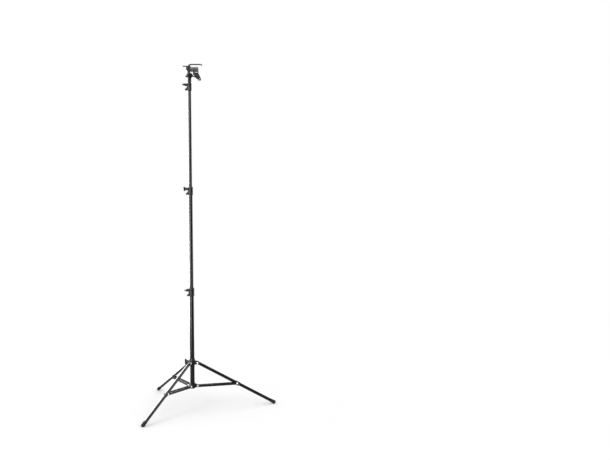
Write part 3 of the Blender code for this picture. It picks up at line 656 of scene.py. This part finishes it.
def hub_shape():
    low, high = node_span("base_hub")
    bore = 14.3 * MM
    lip = 0.8 * MM
    sleeve = lathe([
        (bore, low), (18 * MM - lip, low), (18 * MM, low + lip),
        (18 * MM, high - lip), (18 * MM - lip, high), (bore, high),
    ], 96)
    outline = arc(HUB_PIVOT, 7.5 * MM, -90, 90, 24)
    outline += [(15.5 * MM, HUB_PIVOT[1] + 13.5 * MM), (15.5 * MM, HUB_PIVOT[1] - 7.5 * MM)]
    lug = plate(outline, -11.1 * MM, 11.1 * MM)
    pocket = plate(arc((26 * MM, HUB_PIVOT[1]), 3 * MM, 0, 360, 24)[:-1], -20 * MM, 20 * MM)
    hole = cross_hole(HOLE_RADIUS, *HUB_PIVOT)
    lugs = [turned(lug, azimuth) for azimuth in LEG_AZIMUTHS.values()]
    holes = [turned(cut, azimuth) for azimuth in LEG_AZIMUTHS.values() for cut in (hole, pocket)]
    clear = rod(bore, low - 9 * MM, high + 9 * MM, 96)
    return cast(combine(sleeve, joined=lugs, cut=[clear, *holes]), 0.55, 4, 0.35)


def rivet_shape(half_length):
    """A rivet along Y with the same domed and dimpled head at both ends."""
    crown = half_length + 1.8 * MM
    dome = [
        (1.2 * MM, crown - 0.5 * MM),
        (1.8 * MM, crown - 0.05 * MM),
        (3 * MM, crown - 0.1 * MM),
        (4.4 * MM, crown - 0.6 * MM),
        (5.3 * MM, half_length + 0.5 * MM),
        (5.45 * MM, half_length + 0.1 * MM),
        (5.3 * MM, half_length),
        (3 * MM, half_length),
    ]
    profile = [(0, -crown + 0.6 * MM), *[(radius, -height) for radius, height in dome]]
    profile += [*reversed(dome), (0, crown - 0.6 * MM)]
    return along_y(lathe(profile, 40))


def fitting_shape():
    """Top fitting of a leg, along +X from its pivot."""
    outline = arc((0, 0), 8.5 * MM, 90, 270, 24) + [(14 * MM, -8.5 * MM), (14 * MM, 8.5 * MM)]
    tongue = plate(outline, -6.1 * MM, 6.1 * MM)
    shoulder = along_x(lathe([
        (0, 12 * MM),
        (9.5 * MM, 12 * MM),
        (10.7 * MM, 13.2 * MM),
        (10.7 * MM, 16 * MM),
        (7.7 * MM, 16 * MM),
        (7.7 * MM, 36 * MM),
        (0, 36 * MM),
    ]))
    hole = cross_hole(HOLE_RADIUS)
    return cast(combine(tongue, joined=[shoulder], cut=[hole]), 0.45, 3, 0.4)


def saddle_shape():
    inner = LEG_RADIUS + 0.3 * MM
    start, end = BRACE_JOINT - 15 * MM, BRACE_JOINT + 15 * MM
    sleeve = along_x(rounded_tube(inner, LEG_RADIUS + 1.6 * MM, start, end, 0.4 * MM))
    tab = plate([
        (BRACE_JOINT - 10 * MM, -inner - 0.6 * MM),
        (BRACE_JOINT - 8 * MM, -13.3 * MM),
        (BRACE_JOINT + 8 * MM, -13.3 * MM),
        (BRACE_JOINT + 10 * MM, -inner - 0.6 * MM),
    ], -3.5 * MM, 3.5 * MM)
    hole = cross_hole(HOLE_RADIUS, BRACE_JOINT)
    return bevelled(combine(sleeve, joined=[tab], cut=[hole]), 0.3 * MM)


def foot_shape():
    """A ribbed rubber foot along +X, worn flat where it meets the floor."""
    start = LEG_LENGTH - FOOT_LENGTH
    bore = LEG_RADIUS + 0.3 * MM
    radius = 10.9 * MM
    profile = [
        (0, start + 20.3 * MM),
        (bore, start + 20.3 * MM),
        (bore, start + 0.4 * MM),
        (bore + 0.3 * MM, start),
        (radius - 0.9 * MM, start),
        (radius - 0.2 * MM, start + 0.6 * MM),
        (radius, start + 1.5 * MM),
    ]
    for i in range(4):
        at = start + (6 + 4 * i) * MM
        profile += [
            (radius, at),
            (radius - 0.9 * MM, at + 0.5 * MM),
            (radius - 0.9 * MM, at + 1.1 * MM),
            (radius, at + 1.6 * MM),
        ]
    profile += [
        (radius, LEG_LENGTH - 4 * MM),
        (radius - 0.3 * MM, LEG_LENGTH - 2.2 * MM),
        (radius - 1.1 * MM, LEG_LENGTH - 0.8 * MM),
        (radius - 2.4 * MM, LEG_LENGTH),
        (0, LEG_LENGTH),
    ]
    cap = along_x(lathe(profile))
    drop = -LEG_PIVOT[1]
    below_floor = box(0.3, 0.7, -0.05, 0.05, drop - 0.05, drop)
    return combine(cap, cut=[moved(below_floor, Matrix.Rotation(-LEG_ANGLE, 4, "Y"))])


def strip_shape(length, side):
    """A pressed brace strip with rounded ends and a shallow channel in its outer face."""
    outline = arc((0, 0), 6.5 * MM, 90, 270, 24) + arc((length, 0), 6.5 * MM, -90, 90, 24)
    near, far = sorted((side * 11.5 * MM, side * 13.7 * MM))
    strip = plate(outline, near, far)
    groove = arc((16 * MM, 0), 2.6 * MM, 90, 270, 12)
    groove += arc((length - 16 * MM, 0), 2.6 * MM, -90, 90, 12)
    outer = side * 13.7 * MM
    channel = plate(groove, *sorted((outer - side * 0.7 * MM, outer + side * 1 * MM)))
    holes = [cross_hole(HOLE_RADIUS, x) for x in (0, length)]
    return bevelled(combine(strip, cut=[channel, *holes]), 0.35 * MM)


def add_tripod():
    place = COLUMN @ Matrix.Translation((0, 0, LEG_PIVOT[1]))
    leg_collar = leg_collar_shape()
    add_piece("leg_collar_fine", leg_collar, "cast_black", "leg_slider", ["leg_collar"], place)
    add_piece("base_hub_fine", hub_shape(), "cast_black", "column", ["base_hub"])

    joint_x = LEG_PIVOT[0] + BRACE_JOINT * math.cos(LEG_ANGLE) - HUB_PIVOT[0]
    joint_z = LEG_PIVOT[1] - BRACE_JOINT * math.sin(LEG_ANGLE) - HUB_PIVOT[1]
    brace_length = math.hypot(joint_x, joint_z)
    brace_tilt = math.atan2(joint_z, joint_x)
    start, end = 16.3 * MM, LEG_LENGTH - 14 * MM
    tube = along_x(rounded_tube(LEG_RADIUS - TUBE_WALL, LEG_RADIUS, start, end, 0.35 * MM))
    upended = ALONG_X.inverted()
    tube = moved(combine(tube, cut=[cross_hole(HOLE_RADIUS, BRACE_JOINT)]), upended)
    fitting, saddle, foot = fitting_shape(), saddle_shape(), foot_shape()
    leg_rivet, brace_rivet = rivet_shape(11.3 * MM), rivet_shape(14 * MM)
    strips = {
        side: moved(strip_shape(brace_length, sign), upended)
        for side, sign in (("left", 1), ("right", -1))
    }
    for letter, azimuth in LEG_AZIMUTHS.items():
        plane = COLUMN @ Matrix.Rotation(azimuth, 4, "Z")
        pivot = plane @ Matrix.Translation((LEG_PIVOT[0], 0, LEG_PIVOT[1]))
        leg = pivot @ Matrix.Rotation(LEG_ANGLE, 4, "Y")
        hub_end = plane @ Matrix.Translation((HUB_PIVOT[0], 0, HUB_PIVOT[1]))
        brace = hub_end @ Matrix.Rotation(-brace_tilt, 4, "Y")
        leg_body, brace_body = f"leg_{letter}", f"brace_{letter}"
        for part, mesh, slot in (
            ("tube", tube, "satin_black_tube"),
            ("fitting", fitting, "cast_black"),
            ("saddle", saddle, "cast_black"),
            ("foot", foot, "foot_rubber"),
        ):
            where = leg @ ALONG_X if part == "tube" else leg
            node = f"leg_{letter}_{part}"
            add_piece(f"{node}_fine", mesh, slot, leg_body, [node], where)
        for side, mesh in strips.items():
            node = f"brace_{letter}_{side}"
            add_piece(f"{node}_fine", mesh, "satin_black_tube", brace_body, [node], brace @ ALONG_X)
        outer_end = brace @ Matrix.Translation((brace_length, 0, 0))
        for node, mesh, body, where in (
            (f"leg_pin_{letter}", leg_rivet, "leg_slider", pivot),
            (f"hub_pin_{letter}", brace_rivet, "column", hub_end),
            (f"brace_{letter}_pin", brace_rivet, brace_body, outer_end),
        ):
            add_piece(f"{node}_fine", mesh, "zinc_steel", body, [node], where)


# Head

def socket_shape():
    """The head's main casting: socket, upright, block with the hook's ears, and jaw tongue."""
    bore = 8.3 * MM
    body = lathe([
        (0, 2070.3 * MM),
        (bore, 2070.3 * MM),
        (bore, 2029.5 * MM),
        (bore + 0.5 * MM, 2029 * MM),
        (11.7 * MM, 2029 * MM),
        (12.5 * MM, 2030 * MM),
        (12.5 * MM, 2034 * MM),
        (11.6 * MM, 2035 * MM),
        (11.6 * MM, 2048 * MM),
        (12.5 * MM, 2049 * MM),
        (13.2 * MM, 2052 * MM),
        (17.8 * MM, 2067 * MM),
        (18.5 * MM, 2070 * MM),
        (18.5 * MM, 2077 * MM),
        (17.8 * MM, 2079 * MM),
        (16 * MM, 2081 * MM),
        (0, 2081 * MM),
    ], 96)
    upright = box(-11 * MM, 6 * MM, -11 * MM, 11 * MM, 2075 * MM, 2099 * MM)
    block = plate([
        (-16 * MM, 2097 * MM),
        (8 * MM, 2097 * MM),
        (8 * MM, 2127 * MM),
        (-16 * MM, 2127 * MM),
        (-19 * MM, 2124 * MM),
        (-19 * MM, 2100 * MM),
    ], -13 * MM, 13 * MM)
    x, z = HOOK_PIVOT
    ear = arc(HOOK_PIVOT, 4.5 * MM, 0, 180, 24)
    ear += [(x - 4.5 * MM, 2125 * MM), (x + 4.5 * MM, 2125 * MM)]
    ears = [plate(ear, 4.6 * MM, 8.6 * MM), plate(ear, -8.6 * MM, -4.6 * MM)]
    boss = outward(rod(BOSS_RADIUS, 9.5 * MM, 22 * MM), SOCKET_KNOB_AZIMUTH, SOCKET_KNOB_HEIGHT)
    outline = arc(JAW_PIVOT, 6.5 * MM, -90, 90, 24)
    outline += [(12 * MM, JAW_PIVOT[1] + 6.5 * MM), (12 * MM, JAW_PIVOT[1] - 6.5 * MM)]
    tongue = plate(outline, -4.5 * MM, 4.5 * MM)
    cuts = [
        cross_hole(2.8 * MM, *JAW_PIVOT),
        outward(rod(HOLE_RADIUS, 2 * MM, 27 * MM), SOCKET_KNOB_AZIMUTH, SOCKET_KNOB_HEIGHT),
        box(-25 * MM, -8 * MM, -4.5 * MM, 4.5 * MM, 2116.5 * MM, 2132 * MM),
        cross_hole(2.3 * MM, x, z),
        along_y(rod(2.3 * MM, -9 * MM, 9 * MM), *LEVER_PIVOT),
    ]
    for y in (-14 * MM, 11.6 * MM):
        cuts.append(along_y(rod(5.5 * MM, y, y + 2.4 * MM), -4 * MM, 2107 * MM))
    return cast(combine(body, joined=[upright, block, *ears, boss, tongue], cut=cuts), 0.5, 5, 0.4)


def cradle_shape():
    """The trough casting, with ribs under it and the boss of the clamp screw."""
    centre = (0, TROUGH_CENTRE)
    rim = 2117 * MM
    outline = [(-22 * MM, rim), *arc(centre, 21.5 * MM, 180, 360, 48), (22 * MM, rim)]
    outline += [(18.8 * MM, rim), *arc(centre, 18.8 * MM, 0, -180, 48), (-18.8 * MM, rim)]
    quarter = Matrix.Rotation(math.radians(90), 4, "Z")
    trough = moved(plate(outline, -57 * MM, -8.3 * MM), quarter)
    bands = []
    for start in (8.3 * MM, 52.5 * MM):
        band = [(-22 * MM, 2116 * MM), *arc(centre, 22 * MM, 180, 360, 48), (22 * MM, 2116 * MM)]
        band += [(20 * MM, 2116 * MM), *arc(centre, 20 * MM, 0, -180, 48), (-20 * MM, 2116 * MM)]
        bands.append(moved(plate(band, -start - 4.5 * MM, -start), quarter))
    at_stud = Matrix.Translation((STUD_X, 0, 0))
    boss = moved(rod(8 * MM, 2085.5 * MM, 2092.5 * MM), at_stud)
    ribs = [
        box(10 * MM, 56 * MM, y - 1.3 * MM, y + 1.3 * MM, 2091.6 * MM, 2096 * MM)
        for y in (-9 * MM, 9 * MM)
    ]
    hole = moved(rod(HOLE_RADIUS, 2037 * MM, 2091.3 * MM), at_stud)
    return cast(combine(trough, joined=[*bands, boss, *ribs], cut=[hole]), 0.5, 4, 0.4)


def jaw_shape():
    x, z = JAW_PIVOT
    outline = arc(JAW_PIVOT, 6.5 * MM, 120, 250, 24) + [(x + 30 * MM, z - 28.5 * MM)]
    outline += arc((x + 37 * MM, z - 20 * MM), 9 * MM, -80, 15, 16)
    outline += [
        (x + 33 * MM, z + 11 * MM),
        (x + 27 * MM, z + 17.5 * MM),
        (x + 13 * MM, z + 17.5 * MM),
        (x + 10 * MM, z + 23.5 * MM),
        (x - 3 * MM, z + 23.5 * MM),
        (x - 4.5 * MM, z + 21 * MM),
    ]
    body = plate(outline, -10 * MM, 10 * MM)
    inset = [
        (x + 12 * MM, z + 11 * MM),
        (x + 12 * MM, z - 5 * MM),
        (x + 30 * MM, z - 15 * MM),
        (x + 27 * MM, z + 11 * MM),
    ]
    pocket = moved(rod(9.5 * MM, 2017 * MM, 2048.7 * MM), Matrix.Translation((STUD_X, 0, 0)))
    cuts = [
        box(x - 9 * MM, x + 9 * MM, -4.8 * MM, 4.8 * MM, z - 11 * MM, z + 9 * MM),
        box(STUD_X - 7 * MM, STUD_X + 7 * MM, -3.5 * MM, 3.5 * MM, z - 60 * MM, z + 60 * MM),
        pocket,
        plate(inset, 8.4 * MM, 12 * MM),
        plate(inset, -12 * MM, -8.4 * MM),
        cross_hole(3.2 * MM, x + 37 * MM, z - 19 * MM),
    ]
    return cast(combine(body, cut=cuts), 0.5, 5, 0.4)


def hook_shape():
    """The hook: an eye, a bent round bar and a rounded tip, in one forging."""
    x, z = HOOK_PIVOT
    level = 2138 * MM
    path = smooth_path([
        (x, z),
        (x + 3 * MM, z + 2.2 * MM),
        (x + 7 * MM, z + 4.6 * MM),
        (x + 13 * MM, level),
        (30 * MM, level),
        (50 * MM, level),
        (66 * MM, level - 0.1 * MM),
        (73 * MM, level - 1 * MM),
        (77 * MM, level - 3.5 * MM),
        (79 * MM, level - 7.3 * MM),
    ])
    radii = [4 * MM] * (len(path) - 3) + [3.8 * MM, 3.1 * MM, 1.9 * MM]
    bar = sweep(path, radii)
    eye = along_y(rod(4.2 * MM, -4.2 * MM, 4.2 * MM), x, z)
    trunnions = along_y(lathe([
        (0, -8.6 * MM),
        (1.6 * MM, -8.6 * MM),
        (2 * MM, -8.2 * MM),
        (2 * MM, 8.2 * MM),
        (1.6 * MM, 8.6 * MM),
        (0, 8.6 * MM),
    ]), x, z)
    return bevelled(combine(eye, joined=[bar, trunnions]), 0.25 * MM)


def lever_shape():
    x, z = LEVER_PIVOT
    tip_x, tip_z = LEVER_TIP
    outline = arc((x, z), 4.5 * MM, -90, 90, 24)
    outline += [
        (x - 8 * MM, z + 6 * MM),
        (tip_x + 3 * MM, tip_z + 2.6 * MM),
        (tip_x, tip_z + 1 * MM),
        (tip_x, tip_z - 1.6 * MM),
        (tip_x + 2 * MM, tip_z - 2.8 * MM),
        (x - 9 * MM, z - 1 * MM),
    ]
    bar = plate(outline, -4 * MM, 4 * MM)
    trunnions = along_y(rod(2 * MM, -8.5 * MM, 8.5 * MM), x, z)
    return cast(combine(bar, joined=[trunnions]), 0.35, 4, 0.5)


def screw_shape():
    """The M6 clamp screw, with its thread as close ridges."""
    low, high = node_span("clamp_screw")
    pitch = 1 * MM
    count = int((high - low) / pitch) - 1
    profile = [(0, low), (2.4 * MM, low)]
    for i in range(count):
        profile += [(3 * MM, low + (i + 0.6) * pitch), (2.55 * MM, low + (i + 1.1) * pitch)]
    profile += [(2.6 * MM, high), (0, high)]
    return lathe(profile, 32)


def screw_head_shape():
    low, high = node_span("clamp_screw_head")
    hexagon = rod(5.8 * MM, low, high, 6)
    cone = lathe([
        (0, low),
        (4.9 * MM, low),
        (5.9 * MM, low + 0.6 * MM),
        (5.9 * MM, high - 0.6 * MM),
        (4.9 * MM, high),
        (0, high),
    ], 48)
    meshes = (hexagon, cone, rod(3.1 * MM, low - 1 * MM, high + 1 * MM))
    helpers = [bpy.data.objects.new("helper", mesh) for mesh in meshes]
    for helper, operation in zip(helpers[1:], ("INTERSECT", "DIFFERENCE")):
        modifier = helpers[0].modifiers.new("shape", "BOOLEAN")
        modifier.operation = operation
        modifier.object = helper
    return evaluated(helpers)


def add_head():
    add_piece("socket_fine", socket_shape(), "cast_black", "head", ["socket"])
    add_piece("cradle_fine", cradle_shape(), "cast_aluminium", "head", ["cradle"])
    at_screw = COLUMN @ Matrix.Translation((STUD_X, 0, 0))
    add_piece("clamp_screw_fine", screw_shape(), "zinc_steel", "screw", ["clamp_screw"], at_screw)
    head = screw_head_shape()
    add_piece("clamp_screw_head_fine", head, "zinc_steel", "screw", ["clamp_screw_head"], at_screw)
    add_piece("clamp_jaw_fine", jaw_shape(), "cast_black", "jaw", ["clamp_jaw"])
    pin = [(2 * MM, -11.5 * MM), (2.5 * MM, -11 * MM), (2.5 * MM, 11 * MM), (2 * MM, 11.5 * MM)]
    jaw_pin = along_y(lathe([(0, -11.5 * MM), *pin, (0, 11.5 * MM)], 40), *JAW_PIVOT)
    add_piece("jaw_pin_fine", jaw_pin, "zinc_steel", "jaw", [])
    add_piece("hook_fine", hook_shape(), "cast_black", "hook", ["hook"])
    add_piece("cam_lever_fine", lever_shape(), "cast_black", "lever", ["cam_lever"])


def dress_kept_nodes():
    """The CAD nodes that stay as they are get their slot's finished material."""
    slots = {part["node"]: part["material_slot"] for part in frame["record"]["subparts"]}
    for name, node in frame["nodes"].items():
        for material_slot in node.material_slots:
            material_slot.material = SLOT_MATERIALS[slots[name]]
        node.data.shade_smooth()
        node.data.set_sharp_from_angle(angle=math.radians(40))


# Floor, light and camera

def add_floor():
    angles = [2 * math.pi * i / FLOOR_CORNERS for i in range(FLOOR_CORNERS)]
    rim = [(FLOOR_RADIUS * math.cos(a), FLOOR_RADIUS * math.sin(a), 0) for a in angles]
    mesh = bpy.data.meshes.new("floor")
    mesh.from_pydata(rim, [], [range(FLOOR_CORNERS)])
    floor = bpy.data.objects.new("floor", mesh)
    bpy.context.scene.collection.objects.link(floor)
    s = Surface("studio_floor", 0.6, 0.0)
    s.shader.inputs["Specular IOR Level"].default_value = 0.0
    distance = s.tree.nodes.new("ShaderNodeVectorMath")
    distance.operation = "LENGTH"
    s.link(s.coords.outputs["Object"], distance.inputs[0])
    near = s.mixed(s.noise(3, detail=4), (0.9, 0.9, 0.9), (0.93, 0.93, 0.93))
    far = s.ramp(distance.outputs["Value"], *FLOOR_FADE, 0.0, 1.0)
    s.use("Base Color", s.mixed(far, near, (1.0, 1.0, 1.0)))
    mesh.materials.append(s.material)


def add_area_light(name, location, target, width, height, power):
    """A soft lamp that models the shapes; it is hidden in reflections, where the panels show."""
    light = bpy.data.lights.new(name, "AREA")
    light.shape = "RECTANGLE"
    light.size = width
    light.size_y = height
    light.energy = power
    lamp = bpy.data.objects.new(name, light)
    lamp.location = location
    lamp.rotation_euler = (Vector(target) - Vector(location)).to_track_quat("-Z", "Y").to_euler()
    lamp.visible_glossy = False
    bpy.context.scene.collection.objects.link(lamp)


def add_panel(tree, direction, azimuth, spread, radiance):
    """The reflection of one tall soft panel, at angles in degrees round the stand."""
    middle = math.radians(azimuth)
    towards = tree.nodes.new("ShaderNodeVectorMath")
    towards.operation = "DOT_PRODUCT"
    towards.inputs[1].default_value = (math.sin(middle), -math.cos(middle), 0)
    tree.links.new(direction, towards.inputs[0])
    panel = tree.nodes.new("ShaderNodeMapRange")
    panel.interpolation_type = "SMOOTHSTEP"
    panel.inputs["From Min"].default_value = math.cos(math.radians(spread * 1.35))
    panel.inputs["From Max"].default_value = math.cos(math.radians(spread * 0.75))
    panel.inputs["To Max"].default_value = radiance
    tree.links.new(towards.outputs["Value"], panel.inputs["Value"])
    return panel.outputs["Result"]


def add_light():
    """A white room for the eye and diffuse light; in reflections a dark one with soft panels."""
    world = bpy.data.worlds.new("studio")
    world.use_nodes = True
    bpy.context.scene.world = world
    tree = world.node_tree
    background = tree.nodes["Background"]
    background.inputs["Color"].default_value = (1, 1, 1, 1)
    coords = tree.nodes.new("ShaderNodeTexCoord")
    level = tree.nodes.new("ShaderNodeVectorMath")
    level.operation = "MULTIPLY"
    level.inputs[1].default_value = (1, 1, 0)
    tree.links.new(coords.outputs["Generated"], level.inputs[0])
    direction = tree.nodes.new("ShaderNodeVectorMath")
    direction.operation = "NORMALIZE"
    tree.links.new(level.outputs["Vector"], direction.inputs[0])
    total = None
    for azimuth, spread, radiance in REFLECTED_PANELS:
        panel = add_panel(tree, direction.outputs["Vector"], azimuth, spread, radiance)
        room = tree.nodes.new("ShaderNodeMath")
        room.inputs[0].default_value = DARK_ROOM
        if total:
            tree.links.new(total, room.inputs[0])
        tree.links.new(panel, room.inputs[1])
        total = room.outputs["Value"]
    path = tree.nodes.new("ShaderNodeLightPath")
    strength = tree.nodes.new("ShaderNodeMix")
    strength.inputs["A"].default_value = 1.0
    tree.links.new(path.outputs["Is Glossy Ray"], strength.inputs["Factor"])
    tree.links.new(total, strength.inputs["B"])
    tree.links.new(strength.outputs["Result"], background.inputs["Strength"])
    middle = (AXIS_X, 0, 1.1)
    add_area_light("key", (AXIS_X - 2.4, -2.1, 2.6), middle, width=1.4, height=1.4, power=22)
    add_area_light("back", (AXIS_X + 1.4, 2.8, 2.4), middle, width=1.2, height=1.4, power=10)


def add_camera():
    camera = bpy.data.cameras.new("camera")
    camera.lens = CAMERA_LENS
    camera.shift_x, camera.shift_y = CAMERA_SHIFT
    viewer = bpy.data.objects.new("camera", camera)
    spot = Matrix.Rotation(CAMERA_YAW, 4, "Z") @ Vector(CAMERA_PLACE)
    viewer.location = (spot.x + AXIS_X, spot.y, spot.z)
    viewer.rotation_euler = (math.radians(90), CAMERA_ROLL, CAMERA_YAW)
    bpy.context.scene.collection.objects.link(viewer)
    bpy.context.scene.camera = viewer


dress_kept_nodes()
add_tubes()
add_collars()
add_knobs()
add_tripod()
add_head()
add_floor()
add_light()
add_camera()
bpy.context.scene.view_settings.view_transform = "Standard"
